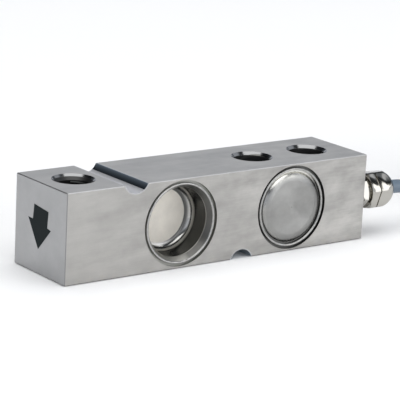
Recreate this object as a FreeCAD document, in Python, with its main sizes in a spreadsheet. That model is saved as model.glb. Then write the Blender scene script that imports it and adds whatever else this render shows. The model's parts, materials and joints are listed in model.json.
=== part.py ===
# Shear beam load cell: a square steel spring element with welded gauge pockets, a cable gland and a lead.
# The origin is the middle of the two fixing holes on the bottom face. +X points to the gland end, the front
# face with the welded cover looks along -Y, and +Z is up. Lengths are millimetres.
import FreeCAD, Part
import math
import os
import Sketcher
from FreeCAD import Placement, Rotation, Vector

SIZES = {
    # spring element
    "beam_width": 31.8,
    "beam_height": 31.8,
    "load_end_margin": 12.7,
    "load_to_fixing": 76.2,
    "fixing_spacing": 25.4,
    "gland_end_margin": 15.7,
    "edge_break": 0.25,
    "load_bore": 11.5,
    "fixing_bore": 13.0,
    "load_countersink": 1.85,
    "fixing_countersink": 1.1,
    "hole_foot_break": 0.4,
    "groove_radius": 5.0,
    "groove_depth": 3.15,
    "groove_from_hole": 15.0,
    # welded seats of the cups and the cover
    "seat_diameter": 28.0,
    "bar_lip_width": 0.4,
    "relief_width": 0.9,
    "relief_depth": 1.2,
    "lip_drop": 0.35,
    "lip_width": 0.45,
    "bead_rise": 0.33,
    # gauge pockets and cups
    "gauge_from_load": 34.3,
    "web_thickness": 4.0,
    "cup_ledge": 0.5,
    "cup_seat_depth": 3.0,
    "cup_side_gap": 0.7,
    "cup_floor_gap": 1.5,
    "cup_wall": 0.5,
    "cup_corner": 3.1,
    "cup_flare_depth": 2.4,
    # wiring pocket and cover
    "wiring_from_fixing": 6.8,
    "cover_ledge": 1.5,
    "wiring_depth": 7.0,
    "cover_thickness": 1.6,
    "valley_width": 0.65,
    "shoulder_radius": 2.0,
    "valley_depth": 0.9,
    # wire ducts
    "wire_gap": 0.3,
    "web_hole_reach": 10.6,
    # gauges and circuit
    "gauge_length": 9.6,
    "gauge_height": 8.0,
    "gauge_film": 0.12,
    "gauge_foil": 0.06,
    "grid_length": 3.8,
    "grid_width": 2.0,
    "grid_spacing": 4.4,
    "strip_reach": 7.2,
    "strip_length": 3.0,
    "strip_height": 6.0,
    "strip_thickness": 0.5,
    "ribbon_thickness": 0.4,
    "ribbon_width": 2.4,
    "ribbon_bend": 0.8,
    "board_side_gap": 1.5,
    "board_thickness": 0.8,
    "board_pad_thickness": 0.4,
    "board_pad_inset": 2.0,
    "ribbon_landing": 6.0,
    "resistor_length": 3.2,
    "resistor_width": 1.6,
    "resistor_thickness": 0.6,
    "resistor_pitch_along": 7.0,
    "resistor_pitch_up": 10.0,
    # gland port and lead-through
    "gland_depth": 7.4,
    "port_bore": 9.0,
    "port_depth": 4.2,
    "ring_recess_width": 1.1,
    "ring_recess_depth": 0.9,
    "ring_gap": 0.02,
    "header_ledge": 1.0,
    "header_depth": 2.8,
    "header_flange_gap": 0.2,
    "header_flange_thickness": 0.3,
    "header_length": 1.6,
    "header_wall": 0.8,
    "pin_diameter": 0.6,
    "pin_circle": 3.2,
    "pin_inner_end": 0.2,
    "pin_outer_end": 1.8,
    # gland
    "thread_clearance": 0.05,
    "fit_clearance": 0.1,
    "washer_inset": 0.2,
    "washer_thickness": 0.5,
    "hex_flats": 12.0,
    "hex_thickness": 3.0,
    "hex_turn": 44.3,
    "neck_diameter": 9.8,
    "neck_length": 6.0,
    "neck_wall": 0.8,
    "cable_way_gap": 0.5,
    "seal_length": 4.5,
    "seal_rise": 0.5,
    "nut_flats": 13.0,
    "nut_turn": 19.5,
    "nut_gap": 1.6,
    "nut_corner_turning": 0.2,
    "nut_hex_length": 3.2,
    "nut_ring_width": 0.6,
    "nut_ring_depth": 0.4,
    "nut_mouth_gap": 0.4,
    "nut_mouth_rim": 0.4,
    "nut_mouth_land": 2.2,
    "nut_tip_gap": 1.0,
    "clamp_inset": 0.6,
    "clamp_length": 4.4,
    "clamp_shoulder": 2.2,
    "clamp_tip_wall": 0.5,
    "clamp_slot": 0.8,
    "clamp_slots": 6,
    # cable
    "cable_diameter": 5.2,
    "jacket_start": 1.5,
    "jacket_end": 16.9,
    "core_diameter": 1.2,
    # put-away hank of cable
    "hank_near_fold": 119.3,
    "hank_middle": 8.5,
    "hank_run": 48.3,
    "hank_bend": 15.7,
    "hank_pitch": 5.3,
    "hank_layers": 7,
    "hank_edge": 2.4,
    "hank_tail": 15.0,
    "hank_entry": 15.0,
    "tie_thickness": 0.7,
    "tie_width": 8.0,
    "core_length": 16.0,
    "core_spacing": 1.25,
    "core_lift": 1.0,
    "drain_diameter": 0.9,
    "tip_diameter": 0.7,
    "tip_length": 6.0,
}

PLACES = {
    # stations along, across and up the bar
    "load_x": "-(Size.fixing_spacing / 2 + Size.load_to_fixing)",
    "load_end_x": "load_x - Size.load_end_margin",
    "gland_end_x": "Size.fixing_spacing / 2 + Size.gland_end_margin",
    "front_y": "-Size.beam_width / 2",
    "middle_z": "Size.beam_height / 2",
    "gauge_x": "load_x + Size.gauge_from_load",
    "wiring_x": "-Size.fixing_spacing / 2 + Size.wiring_from_fixing",
    "web_y": "-Size.web_thickness / 2",
    # rings of the welded seats
    "seat_radius": "Size.seat_diameter / 2",
    "relief_inner": "seat_radius + Size.bar_lip_width",
    "relief_outer": "relief_inner + Size.relief_width",
    "lip_inner": "seat_radius - Size.lip_width",
    # gauge pocket and cup
    "gauge_bore_radius": "seat_radius - Size.cup_ledge",
    "cup_outer": "gauge_bore_radius - Size.cup_side_gap",
    "cup_inner": "cup_outer - Size.cup_wall",
    "cup_depth": "Size.beam_width / 2 - Size.web_thickness / 2 - Size.cup_floor_gap - Size.cup_wall",
    # wiring pocket, cover and board
    "wiring_bore_radius": "seat_radius - Size.cover_ledge",
    "plateau_radius": "lip_inner - Size.valley_width",
    "shoulder_run": "sqrt(2 * Size.shoulder_radius * Size.valley_depth - Size.valley_depth ^ 2)",
    "pocket_floor_y": "front_y + Size.wiring_depth",
    "board_y": "pocket_floor_y - Size.board_pad_thickness - Size.board_thickness",
    "board_radius": "wiring_bore_radius - Size.board_side_gap",
    "duct_y": "board_y - Size.ribbon_thickness / 2",
    "wire_way_radius": "Size.ribbon_width / 2 + Size.wire_gap",
    # gland port and lead-through, heights counted out from the end face
    "gland_y": "front_y + Size.gland_depth",
    "port_radius": "Size.port_bore / 2",
    "port_end": "-(Size.port_depth + Size.header_depth)",
    "header_radius": "port_radius - Size.header_ledge",
    "glass_radius": "header_radius - Size.header_wall",
    "shank_radius": "port_radius - Size.thread_clearance",
    "shank_end": "-Size.port_depth + Size.header_flange_thickness + Size.fit_clearance",
    # gland
    "hex_end": "Size.washer_thickness + Size.hex_thickness",
    "neck_radius": "Size.neck_diameter / 2",
    "neck_end": "hex_end + Size.neck_length",
    "seal_seat_radius": "neck_radius - Size.neck_wall",
    "seal_end": "neck_end + Size.seal_rise",
    "seal_start": "seal_end - Size.seal_length",
    "cable_radius": "Size.cable_diameter / 2",
    "clamp_start": "seal_end + Size.thread_clearance",
    "clamp_end": "clamp_start + Size.clamp_length",
    "clamp_radius": "neck_radius - Size.clamp_inset - Size.fit_clearance",
    "clamp_bore": "cable_radius + Size.fit_clearance",
    "nut_start": "hex_end + Size.nut_gap",
    "nut_corner": "Size.nut_flats / 2 / cos(30)",
    "nut_turned": "nut_corner - Size.nut_corner_turning",
    "nut_ring_start": "nut_start + Size.nut_hex_length",
    "nut_mouth": "cable_radius + Size.nut_mouth_gap",
    "nut_end": "clamp_end + Size.nut_tip_gap + Size.nut_mouth_land",
    "dome_rim": "nut_mouth + Size.nut_mouth_rim",
    "dome_centre": "nut_end - sqrt(nut_turned ^ 2 - dome_rim ^ 2)",
    # hank
    "hank_outer_bend": "Size.hank_bend + Size.hank_pitch",
    "hank_base": "Size.tie_thickness + Size.fit_clearance",
    "hank_height": "Size.hank_layers * Size.hank_pitch",
    "tail_x": "Size.hank_near_fold + Size.hank_run - Size.hank_tail",
    "tail_floor": "hank_base + (Size.hank_layers - 1) * Size.hank_pitch",
}

# The free stretch of the lead: straight out of the gland, down to the surface and along it to the hank.
CABLE_ROUTE = [
    (45.3, -8.5, 15.9),
    (60.8, -8.5, 15.9),
    (88.8, -12.5, 3.45),
    (104.3, -12.5, 3.45),
]
ARC_SHARE = 0.45

LEFT = 1
RIGHT = -1
GLAND_BASE = ("Place.gland_end_x", "Place.gland_y", "Place.middle_z")
TO_FRONT = Rotation(Vector(1, 0, 0), 90)
TO_BACK = Rotation(Vector(1, 0, 0), -90)
TO_GLAND = Rotation(Vector(0, 1, 0), 90)

doc = FreeCAD.newDocument("load_cell")


def add_sheet(name, cells):
    sheet = doc.addObject("Spreadsheet::Sheet", name)
    for row, (alias, content) in enumerate(cells.items(), start=1):
        sheet.set(f"A{row}", alias)
        sheet.set(f"B{row}", content)
        sheet.setAlias(f"B{row}", alias)
    doc.recompute()
    return sheet


size = add_sheet("Size", {alias: str(value) for alias, value in SIZES.items()})
add_sheet("Place", {alias: "=" + formula for alias, formula in PLACES.items()})


def number(expression):
    return float(size.evalExpression(expression))


def set_base(obj, base):
    for axis, expression in zip("xyz", base):
        obj.setExpression(f"Placement.Base.{axis}", expression)


def new_body(label, base=None, turn=None):
    body = doc.addObject("PartDesign::Body", label)
    if turn:
        body.Placement = Placement(Vector(), turn)
    if base:
        set_base(body, base)
    return body


def new_sketch(body, name, plane, offset=("0", "0", "0")):
    sketch = body.newObject("Sketcher::SketchObject", name)
    support = next(o for o in body.Origin.OriginFeatures if o.Role == plane)
    sketch.AttachmentSupport = (support, [""])
    sketch.MapMode = "FlatFace"
    for axis, expression in zip("xyz", offset):
        sketch.setExpression(f"AttachmentOffset.Base.{axis}", expression)
    return sketch


def constrain(sketch, kind, places, expression):
    index = sketch.addConstraint(Sketcher.Constraint(kind, *places, number(expression)))
    sketch.setExpression(f"Constraints[{index}]", expression)


def arc_between(start, end, radius, side):
    """The short arc from start to end, turning left or right."""
    chord = end - start
    across = Vector(-chord.y, chord.x, 0).normalize()
    rise = math.sqrt(max(radius**2 - (chord.Length / 2) ** 2, 0))
    centre = (start + end) / 2 + across * (side * rise)
    first, last = (start, end) if side == LEFT else (end, start)
    angles = [math.atan2(p.y - centre.y, p.x - centre.x) for p in (first, last)]
    return Part.ArcOfCircle(Part.Circle(centre, Vector(0, 0, 1), radius), *angles)


def outline(sketch, corners):
    """A closed outline. A corner is (u, v), or (u, v, radius, side) where an arc leads to the next corner."""
    points = [Vector(number(c[0]), number(c[1]), 0) for c in corners]
    edges = []
    for corner, start, end in zip(corners, points, points[1:] + points[:1]):
        if len(corner) == 2:
            edges.append((sketch.addGeometry(Part.LineSegment(start, end), False), 1, 2))
            continue
        radius, side = corner[2:]
        index = sketch.addGeometry(arc_between(start, end, number(radius), side), False)
        edges.append((index, 1, 2) if side == LEFT else (index, 2, 1))
    for corner, edge, following in zip(corners, edges, edges[1:] + edges[:1]):
        index, first, last = edge
        sketch.addConstraint(Sketcher.Constraint("Coincident", index, last, following[0], following[1]))
        constrain(sketch, "DistanceX", (-1, 1, index, first), corner[0])
        constrain(sketch, "DistanceY", (-1, 1, index, first), corner[1])
        if len(corner) > 2:
            constrain(sketch, "Radius", (index,), corner[2])
    return sketch


def circle(sketch, u, v, radius):
    centre = Vector(number(u), number(v), 0)
    index = sketch.addGeometry(Part.Circle(centre, Vector(0, 0, 1), number(radius)), False)
    constrain(sketch, "DistanceX", (-1, 1, index, 3), u)
    constrain(sketch, "DistanceY", (-1, 1, index, 3), v)
    constrain(sketch, "Radius", (index,), radius)
    return sketch


def rectangle(sketch, left, low, right, high):
    return outline(sketch, [(left, low), (right, low), (right, high), (left, high)])


def centred_rectangle(sketch, length, height):
    return rectangle(sketch, f"-{length} / 2", f"-{height} / 2", f"{length} / 2", f"{height} / 2")


def hexagon(sketch, flats, turn):
    corner = f"({flats} / 2 / cos(30))"
    angles = [f"({turn} + {60 * k})" for k in range(6)]
    return outline(sketch, [(f"{corner} * cos{a}", f"{corner} * sin{a}") for a in angles])


def feature(body, kind, name, sketch):
    made = body.newObject("PartDesign::" + kind, name)
    made.Profile = sketch
    return made


def pad(body, name, sketch, length, both_ways=False):
    made = feature(body, "Pad", name, sketch)
    made.setExpression("Length", length)
    made.Midplane = both_ways
    return made


def cut_through(body, name, sketch, length):
    made = feature(body, "Pocket", name, sketch)
    made.setExpression("Length", length)
    made.Midplane = True
    return made


def revolve(body, kind, name, sketch, axis="V_Axis"):
    made = feature(body, kind, name, sketch)
    made.ReferenceAxis = (sketch, [axis])
    made.Angle = 360
    return made


def turned(body, kind, name, corners):
    """A turned form or cut about the body's own Z axis, from (radius, height) corners."""
    sketch = outline(new_sketch(body, name + "_profile", "XZ_Plane"), corners)
    return revolve(body, kind, name, sketch)


def plain_cylinder(label, radius, height, base, turn=None):
    made = doc.addObject("Part::Cylinder", label)
    made.setExpression("Radius", radius)
    made.setExpression("Height", height)
    if turn:
        made.Placement = Placement(Vector(), turn)
    set_base(made, base)
    return made


def group(label, members):
    made = doc.addObject("Part::Compound", label)
    made.Links = members
    return made


def hole_cut(body, name, x, bore, countersink):
    """A through hole with a countersunk mouth on the top face and a small break at its foot."""
    sketch = new_sketch(body, name + "_profile", "XZ_Plane", (x, "0", "0"))
    foot = f"{bore} / 2 + Size.hole_foot_break"
    outline(sketch, [
        ("0", "0"),
        (foot, "0"),
        (f"{bore} / 2", "Size.hole_foot_break"),
        (f"{bore} / 2", f"Size.beam_height - {countersink}"),
        (f"{bore} / 2 + {countersink}", "Size.beam_height"),
        ("0", "Size.beam_height"),
    ])
    return revolve(body, "Groove", name, sketch)


def pocket_cut(body, name, x, bore_radius, seat_depth, floor_y):
    """A round pocket in the front face, with a weld relief, a thin lip and a seat around its bore."""
    sketch = new_sketch(body, name + "_profile", "XY_Plane", (x, "0", "Place.middle_z"))
    at = "Place.front_y + "
    outline(sketch, [
        ("0", "Place.front_y"),
        ("Place.relief_outer", "Place.front_y"),
        ("Place.relief_outer", at + "Size.relief_depth"),
        ("Place.relief_inner", at + "Size.relief_depth"),
        ("Place.relief_inner", at + "Size.lip_drop"),
        ("Place.seat_radius", at + "Size.lip_drop"),
        ("Place.seat_radius", at + seat_depth),
        (bore_radius, at + seat_depth),
        (bore_radius, floor_y),
        ("0", floor_y),
    ])
    return revolve(body, "Groove", name, sketch)


def beam_body():
    body = new_body("beam_body")
    plan = new_sketch(body, "beam_plan", "XY_Plane")
    rectangle(plan, "Place.load_end_x", "Place.front_y", "Place.gland_end_x", "-Place.front_y")
    bar = pad(body, "bar", plan, "Size.beam_height")
    doc.recompute()
    edges = body.newObject("PartDesign::Chamfer", "edge_breaks")
    edges.Base = (bar, [])
    edges.UseAllEdges = True
    edges.setExpression("Size", "Size.edge_break")
    doc.recompute()

    grooves = new_sketch(body, "groove_circles", "XZ_Plane")
    circle(grooves, "Place.load_x + Size.groove_from_hole",
           "Size.beam_height + Size.groove_radius - Size.groove_depth", "Size.groove_radius")
    circle(grooves, "-Size.fixing_spacing / 2 - Size.groove_from_hole",
           "Size.groove_depth - Size.groove_radius", "Size.groove_radius")
    cut_through(body, "cross_grooves", grooves, "Size.beam_width + 2 * Size.groove_radius")

    hole_cut(body, "load_hole", "Place.load_x", "Size.load_bore", "Size.load_countersink")
    first_hole = hole_cut(body, "fixing_hole", "-Size.fixing_spacing / 2", "Size.fixing_bore",
                          "Size.fixing_countersink")
    doc.recompute()
    holes = body.newObject("PartDesign::LinearPattern", "fixing_holes")
    holes.Originals = [first_hole]
    holes.Direction = (next(o for o in body.Origin.OriginFeatures if o.Role == "X_Axis"), [""])
    holes.setExpression("Length", "Size.fixing_spacing")
    holes.Occurrences = 2
    body.Tip = holes
    doc.recompute()

    front_pocket = pocket_cut(body, "gauge_pocket", "Place.gauge_x", "Place.gauge_bore_radius",
                              "Size.cup_seat_depth", "Place.web_y")
    doc.recompute()
    pockets = body.newObject("PartDesign::Mirrored", "gauge_pockets")
    pockets.Originals = [front_pocket]
    pockets.MirrorPlane = (next(o for o in body.Origin.OriginFeatures if o.Role == "XZ_Plane"), [""])
    body.Tip = pockets
    doc.recompute()
    pocket_cut(body, "wiring_pocket", "Place.wiring_x", "Place.wiring_bore_radius",
               "Size.cover_thickness", "Place.pocket_floor_y")

    port = new_sketch(body, "gland_port_profile", "XY_Plane", GLAND_BASE)
    recess = "Place.port_radius + Size.ring_recess_width"
    outline(port, [
        ("0", "0"),
        ("0", recess),
        ("-Size.ring_recess_depth", recess),
        ("-Size.ring_recess_depth", "Place.port_radius"),
        ("-Size.port_depth", "Place.port_radius"),
        ("-Size.port_depth", "Place.header_radius"),
        ("Place.port_end", "Place.header_radius"),
        ("Place.port_end", "0"),
    ])
    revolve(body, "Groove", "gland_port", port, "H_Axis")

    duct = new_sketch(body, "wire_duct_profile", "XY_Plane", ("0", "Place.duct_y", "Place.middle_z"))
    rectangle(duct, "Place.gauge_x + Place.cup_outer", "0",
              "Place.gland_end_x + Place.port_end + Size.pin_inner_end", "Place.wire_way_radius")
    revolve(body, "Groove", "wire_duct", duct, "H_Axis")

    web_hole = new_sketch(body, "web_hole_circle", "XZ_Plane")
    circle(web_hole, "Place.gauge_x - Size.web_hole_reach", "Place.middle_z", "Place.wire_way_radius")
    cut_through(body, "web_hole", web_hole, "2 * Size.web_thickness")
    return body


def gauge_cup(label, base, turn):
    """A drawn cup: weld lip, flared mouth, deep wall and a flat bottom with a round corner."""
    body = new_body(label, base, turn)
    flat = "Place.cup_inner - Size.cup_corner"
    turned(body, "Revolution", label + "_form", [
        ("0", "Place.cup_depth"),
        (flat, "Place.cup_depth", "Size.cup_corner", RIGHT),
        ("Place.cup_inner", "Place.cup_depth - Size.cup_corner"),
        ("Place.cup_inner", "Size.cup_flare_depth"),
        ("Place.lip_inner", "Size.lip_drop"),
        ("Place.seat_radius", "Size.lip_drop"),
        ("Place.seat_radius", "Size.cup_seat_depth"),
        ("Place.cup_outer", "Size.cup_seat_depth"),
        ("Place.cup_outer", "Place.cup_depth - Size.cup_corner", "Size.cup_corner + Size.cup_wall", LEFT),
        (flat, "Place.cup_depth + Size.cup_wall"),
        ("0", "Place.cup_depth + Size.cup_wall"),
    ])
    return body


def weld_bead(label, base, turn):
    """A round-topped ring of weld metal that bridges the lip of the bar and the lip of the cup or cover."""
    body = new_body(label, base, turn)
    half = "((Place.relief_inner - Place.lip_inner) / 2)"
    bow = f"({half} ^ 2 + Size.bead_rise ^ 2) / 2 / Size.bead_rise"
    turned(body, "Revolution", label + "_form", [
        ("Place.relief_inner", "Size.lip_drop"),
        ("Place.lip_inner", "Size.lip_drop", bow, LEFT),
    ])
    return body


def wiring_pocket_cover():
    base = ("Place.wiring_x", "Place.front_y", "Place.middle_z")
    body = new_body("wiring_pocket_cover", base, TO_BACK)
    turned(body, "Revolution", "cover_form", [
        ("0", "0"),
        ("Place.plateau_radius - Place.shoulder_run", "0", "Size.shoulder_radius", LEFT),
        ("Place.plateau_radius", "Size.valley_depth"),
        ("Place.lip_inner", "Size.valley_depth"),
        ("Place.lip_inner", "Size.lip_drop"),
        ("Place.seat_radius", "Size.lip_drop"),
        ("Place.seat_radius", "Size.cover_thickness"),
        ("0", "Size.cover_thickness"),
    ])
    return body


def strain_gauge(label, base, turn):
    """A film carrier with two foil grids at plus and minus 45 degrees."""
    body = new_body(label, base, turn)
    film = new_sketch(body, label + "_film", "XY_Plane")
    centred_rectangle(film, "Size.gauge_length", "Size.gauge_height")
    pad(body, label + "_carrier", film, "Size.gauge_film")
    foil = new_sketch(body, label + "_grids", "XY_Plane")
    along = "Size.grid_length / 2 * cos(45)"
    across = "Size.grid_width / 2 * cos(45)"
    for lean in (1, -1):
        centre = f"{lean} * Size.grid_spacing / 2"
        corners = [
            (f"-{along} - {across}", f"-{along} + {across}"),
            (f"-{along} + {across}", f"-{along} - {across}"),
            (f"{along} + {across}", f"{along} - {across}"),
            (f"{along} - {across}", f"{along} + {across}"),
        ]
        outline(foil, [(f"{centre} + {lean} * ({u})", v) for u, v in corners])
    pad(body, label + "_foil", foil, "Size.gauge_film + Size.gauge_foil")
    return body


def solder_strip(label, base, turn):
    body = new_body(label, base, turn)
    plan = new_sketch(body, label + "_plan", "XY_Plane")
    centred_rectangle(plan, "Size.strip_length", "Size.strip_height")
    pad(body, label + "_plate", plan, "Size.strip_thickness")
    return body


def flat_ribbon(label, corners):
    """A flat lead of constant thickness, drawn in plan and as wide as the ribbon about the middle height."""
    body = new_body(label, ("0", "0", "Place.middle_z"))
    plan = outline(new_sketch(body, label + "_plan", "XY_Plane"), corners)
    pad(body, label + "_strip", plan, "Size.ribbon_width", both_ways=True)
    return body


def bridge_jumper():
    """A U from the rear solder strip through the web to the front one."""
    start = "Place.gauge_x - Size.strip_reach"
    x = "Place.gauge_x - Size.web_hole_reach"
    half = "Size.ribbon_thickness / 2"
    lie = "Size.web_thickness / 2 + Size.strip_thickness"
    top = f"{lie} + Size.ribbon_thickness"
    inner = f"Size.ribbon_bend - {half}"
    outer = f"Size.ribbon_bend + {half}"
    return flat_ribbon("bridge_jumper", [
        (start, top),
        (f"{x} - {half} + {outer}", top, outer, LEFT),
        (f"{x} - {half}", f"{top} - ({outer})"),
        (f"{x} - {half}", f"-({top}) + {outer}", outer, LEFT),
        (f"{x} - {half} + {outer}", f"-({top})"),
        (start, f"-({top})"),
        (start, f"-({lie})"),
        (f"{x} + {half} + {inner}", f"-({lie})", inner, RIGHT),
        (f"{x} + {half}", f"-({lie}) + {inner}"),
        (f"{x} + {half}", f"{lie} - ({inner})", inner, RIGHT),
        (f"{x} + {half} + {inner}", lie),
        (start, lie),
    ])


def gauge_ribbon():
    """From the front solder strip, out along the web, up beside the cup and through the duct to the board."""
    start = "Place.gauge_x + Size.strip_reach"
    stop = "Place.wiring_x - Size.ribbon_landing"
    x = "Place.gauge_x + Place.cup_outer + Size.cup_side_gap / 2"
    half = "Size.ribbon_thickness / 2"
    low = "-(Size.web_thickness / 2 + Size.strip_thickness + Size.ribbon_thickness)"
    high = "-(Size.web_thickness / 2 + Size.strip_thickness)"
    inner = f"Size.ribbon_bend - {half}"
    outer = f"Size.ribbon_bend + {half}"
    board = "Place.board_y"
    return flat_ribbon("gauge_ribbon", [
        (start, low),
        (start, high),
        (f"{x} + {half} - ({outer})", high, outer, RIGHT),
        (f"{x} + {half}", f"{high} - ({outer})"),
        (f"{x} + {half}", f"{board} + {inner}", inner, LEFT),
        (f"{x} + {half} + {inner}", board),
        (stop, board),
        (stop, f"{board} - Size.ribbon_thickness"),
        (f"{x} - {half} + {outer}", f"{board} - Size.ribbon_thickness", outer, RIGHT),
        (f"{x} - {half}", f"{board} - Size.ribbon_thickness + {outer}"),
        (f"{x} - {half}", f"{low} - ({inner})", inner, LEFT),
        (f"{x} - {half} - ({inner})", low),
    ])


def header_ribbon():
    left = "Place.wiring_x + Size.ribbon_landing"
    right = "Place.gland_end_x + Place.port_end + Size.pin_inner_end / 2"
    low = "Place.board_y - Size.ribbon_thickness"
    return flat_ribbon("header_ribbon", [
        (left, low), (right, low), (right, "Place.board_y"), (left, "Place.board_y"),
    ])


def round_plate(label, radius, thickness, back_y):
    """A round plate in the wiring pocket, whose back lies at back_y."""
    body = new_body(label, ("Place.wiring_x", back_y, "Place.middle_z"), TO_FRONT)
    plan = circle(new_sketch(body, label + "_plan", "XY_Plane"), "0", "0", radius)
    pad(body, label + "_plate", plan, thickness)
    return body


def trim_resistors():
    chips = []
    for along in (-1, 1):
        for up in (-1, 1):
            chip = doc.addObject("Part::Box", "resistor_chip")
            chip.setExpression("Length", "Size.resistor_length")
            chip.setExpression("Width", "Size.resistor_thickness")
            chip.setExpression("Height", "Size.resistor_width")
            set_base(chip, (
                f"Place.wiring_x + {along} * Size.resistor_pitch_along / 2 - Size.resistor_length / 2",
                "Place.board_y - Size.resistor_thickness",
                f"Place.middle_z + {up} * Size.resistor_pitch_up / 2 - Size.resistor_width / 2",
            ))
            chips.append(chip)
    return group("trim_resistors", chips)


def gland_piece(label):
    """A body on the gland's axis, whose height 0 is the end face of the bar and whose +Z leads out."""
    return new_body(label, GLAND_BASE, TO_GLAND)


def header_shell():
    body = gland_piece("header_shell")
    seat = "-Size.port_depth"
    turned(body, "Revolution", "header_shell_form", [
        ("Place.glass_radius", f"{seat} - Size.header_length"),
        ("Place.header_radius - Size.thread_clearance", f"{seat} - Size.header_length"),
        ("Place.header_radius - Size.thread_clearance", seat),
        ("Place.port_radius - Size.header_flange_gap", seat),
        ("Place.port_radius - Size.header_flange_gap", f"{seat} + Size.header_flange_thickness"),
        ("Place.glass_radius", f"{seat} + Size.header_flange_thickness"),
    ])
    return body


def header_glass():
    body = gland_piece("header_glass")
    plan = new_sketch(body, "glass_plan", "XY_Plane", ("0", "0", "-Size.port_depth - Size.header_length"))
    circle(plan, "0", "0", "Place.glass_radius")
    for u, v in ((1, 0), (0, 1), (-1, 0), (0, -1)):
        circle(plan, f"{u} * Size.pin_circle / 2", f"{v} * Size.pin_circle / 2", "Size.pin_diameter / 2")
    pad(body, "glass_disc", plan, "Size.header_length + Size.header_flange_thickness")
    return body


def ring_of_rods(label, radius, start, stop):
    """Four rods on the pin circle, along the gland's axis."""
    rods = []
    for v, w in ((1, 0), (0, 1), (-1, 0), (0, -1)):
        base = (
            f"Place.gland_end_x + {start}",
            f"Place.gland_y + {v} * Size.pin_circle / 2",
            f"Place.middle_z + {w} * Size.pin_circle / 2",
        )
        rods.append(plain_cylinder(label + "_rod", radius, f"{stop} - ({start})", base, TO_GLAND))
    return group(label, rods)


def gland_o_ring():
    ring = doc.addObject("Part::Torus", "gland_o_ring")
    ring.setExpression("Radius1", "(Place.shank_radius + Place.port_radius + Size.ring_recess_width) / 2")
    ring.setExpression("Radius2", "Size.ring_recess_depth / 2 - Size.ring_gap")
    ring.Placement = Placement(Vector(), TO_GLAND)
    set_base(ring, ("Place.gland_end_x - Size.ring_recess_depth / 2", "Place.gland_y", "Place.middle_z"))
    return ring


def hex_chamfer(body, name, flats, low, high):
    """Takes the corners off both ends of a hexagon at 30 degrees."""
    start = f"{flats} / 2 - Size.fit_clearance"
    reach = f"{flats} / 2 / cos(30) + 1"
    drop = f"({reach} - ({start})) * tan(30)"
    for end, height, inwards in (("low", low, "+"), ("high", high, "-")):
        turned(body, "Groove", f"{name}_{end}", [
            (start, height),
            (reach, height),
            (reach, f"{height} {inwards} {drop}"),
        ])


def gland_body():
    body = gland_piece("gland_body")
    plan = new_sketch(body, "gland_hex_plan", "XY_Plane", ("0", "0", "Size.washer_thickness"))
    hexagon(plan, "Size.hex_flats", "Size.hex_turn")
    pad(body, "gland_hex", plan, "Size.hex_thickness")
    washer = "Size.hex_flats / 2 - Size.washer_inset"
    turned(body, "Revolution", "gland_stem", [
        ("0", "Place.shank_end"),
        ("Place.shank_radius", "Place.shank_end"),
        ("Place.shank_radius", "0"),
        (washer, "0"),
        (washer, "Size.washer_thickness"),
        ("Place.neck_radius", "Size.washer_thickness"),
        ("Place.neck_radius", "Place.neck_end"),
        ("0", "Place.neck_end"),
    ])
    hex_chamfer(body, "gland_hex_chamfer", "Size.hex_flats", "Size.washer_thickness", "Place.hex_end")
    way = "Place.cable_radius + Size.cable_way_gap"
    floor = "Place.seal_start - Size.thread_clearance"
    turned(body, "Groove", "gland_bore", [
        ("0", "Place.shank_end"),
        (way, "Place.shank_end"),
        (way, f"{floor} - (Place.seal_seat_radius - ({way}))"),
        ("Place.seal_seat_radius", floor),
        ("Place.seal_seat_radius", "Place.neck_end"),
        ("0", "Place.neck_end"),
    ])
    return body


def gland_seal():
    body = gland_piece("gland_seal")
    bore = "Place.cable_radius + Size.thread_clearance"
    outside = "Place.seal_seat_radius - Size.thread_clearance"
    turned(body, "Revolution", "seal_form", [
        (bore, "Place.seal_start"),
        (outside, "Place.seal_start"),
        (outside, "Place.seal_end"),
        (bore, "Place.seal_end"),
    ])
    return body


def gland_clamp_ring():
    """The slotted ring that the nut presses on the cable."""
    body = gland_piece("gland_clamp_ring")
    turned(body, "Revolution", "clamp_form", [
        ("Place.clamp_bore", "Place.clamp_start"),
        ("Place.clamp_radius", "Place.clamp_start"),
        ("Place.clamp_radius", "Place.clamp_start + Size.clamp_shoulder"),
        ("Place.clamp_bore + Size.clamp_tip_wall", "Place.clamp_end"),
        ("Place.clamp_bore", "Place.clamp_end"),
    ])
    slot = new_sketch(body, "clamp_slot_plan", "XY_Plane", ("0", "0", "Place.clamp_end"))
    rectangle(slot, "0", "-Size.clamp_slot / 2", "2 * Place.clamp_radius", "Size.clamp_slot / 2")
    cut = feature(body, "Pocket", "clamp_slot", slot)
    cut.setExpression("Length", "Size.clamp_length - Size.clamp_shoulder / 2")
    doc.recompute()
    slots = body.newObject("PartDesign::PolarPattern", "clamp_slots")
    slots.Originals = [cut]
    slots.Axis = (next(o for o in body.Origin.OriginFeatures if o.Role == "Z_Axis"), [""])
    slots.Angle = 360
    slots.setExpression("Occurrences", "Size.clamp_slots")
    body.Tip = slots
    return body


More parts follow.
